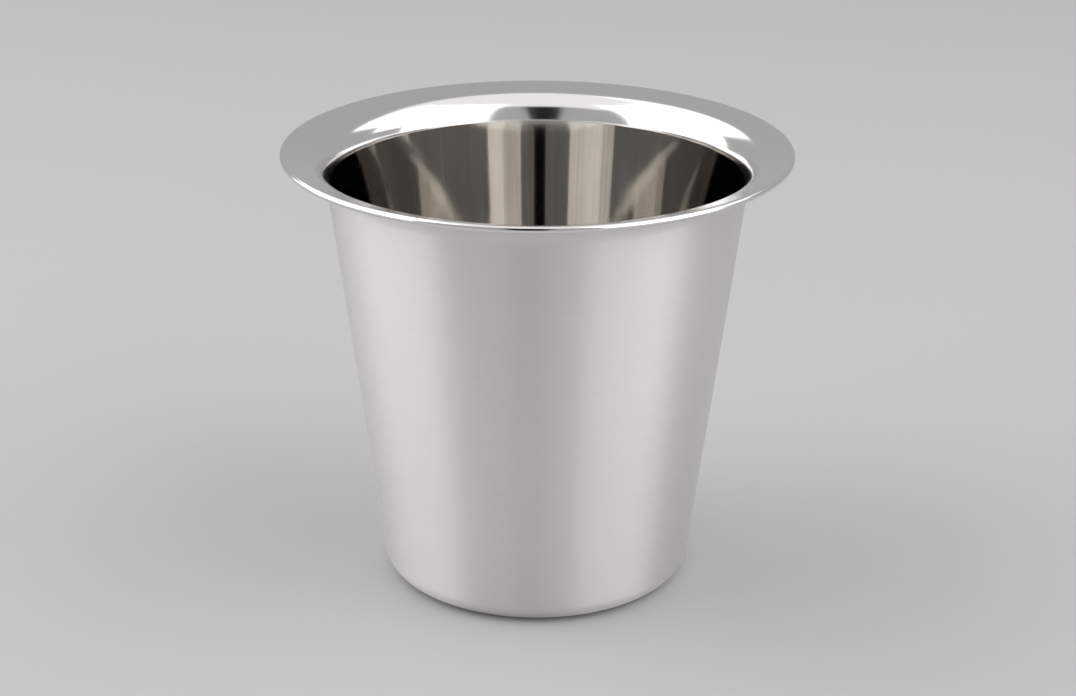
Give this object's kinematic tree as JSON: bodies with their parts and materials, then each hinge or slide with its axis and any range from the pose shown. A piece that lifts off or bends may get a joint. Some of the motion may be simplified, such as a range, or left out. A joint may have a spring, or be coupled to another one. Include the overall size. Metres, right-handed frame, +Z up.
{
  "type": "deep drawn metal cup",
  "caption": "Tapered stainless steel cup drawn from one sheet, with a flat base and a wide rising flange whose edge is folded under.",
  "frame": {"origin": "centre of the flat base's underside", "axes": "+Z up along the cup's axis, towards the mouth; the cup is round, so +X and +Y are free"},
  "size_m": [0.12, 0.12, 0.106],
  "materials": {
    "stainless_steel": "fine satin outside, mirror polished inside and over the throat"
  },
  "bodies": {
    "root": {"cup": "stainless_steel"}
  },
  "joints": []
}
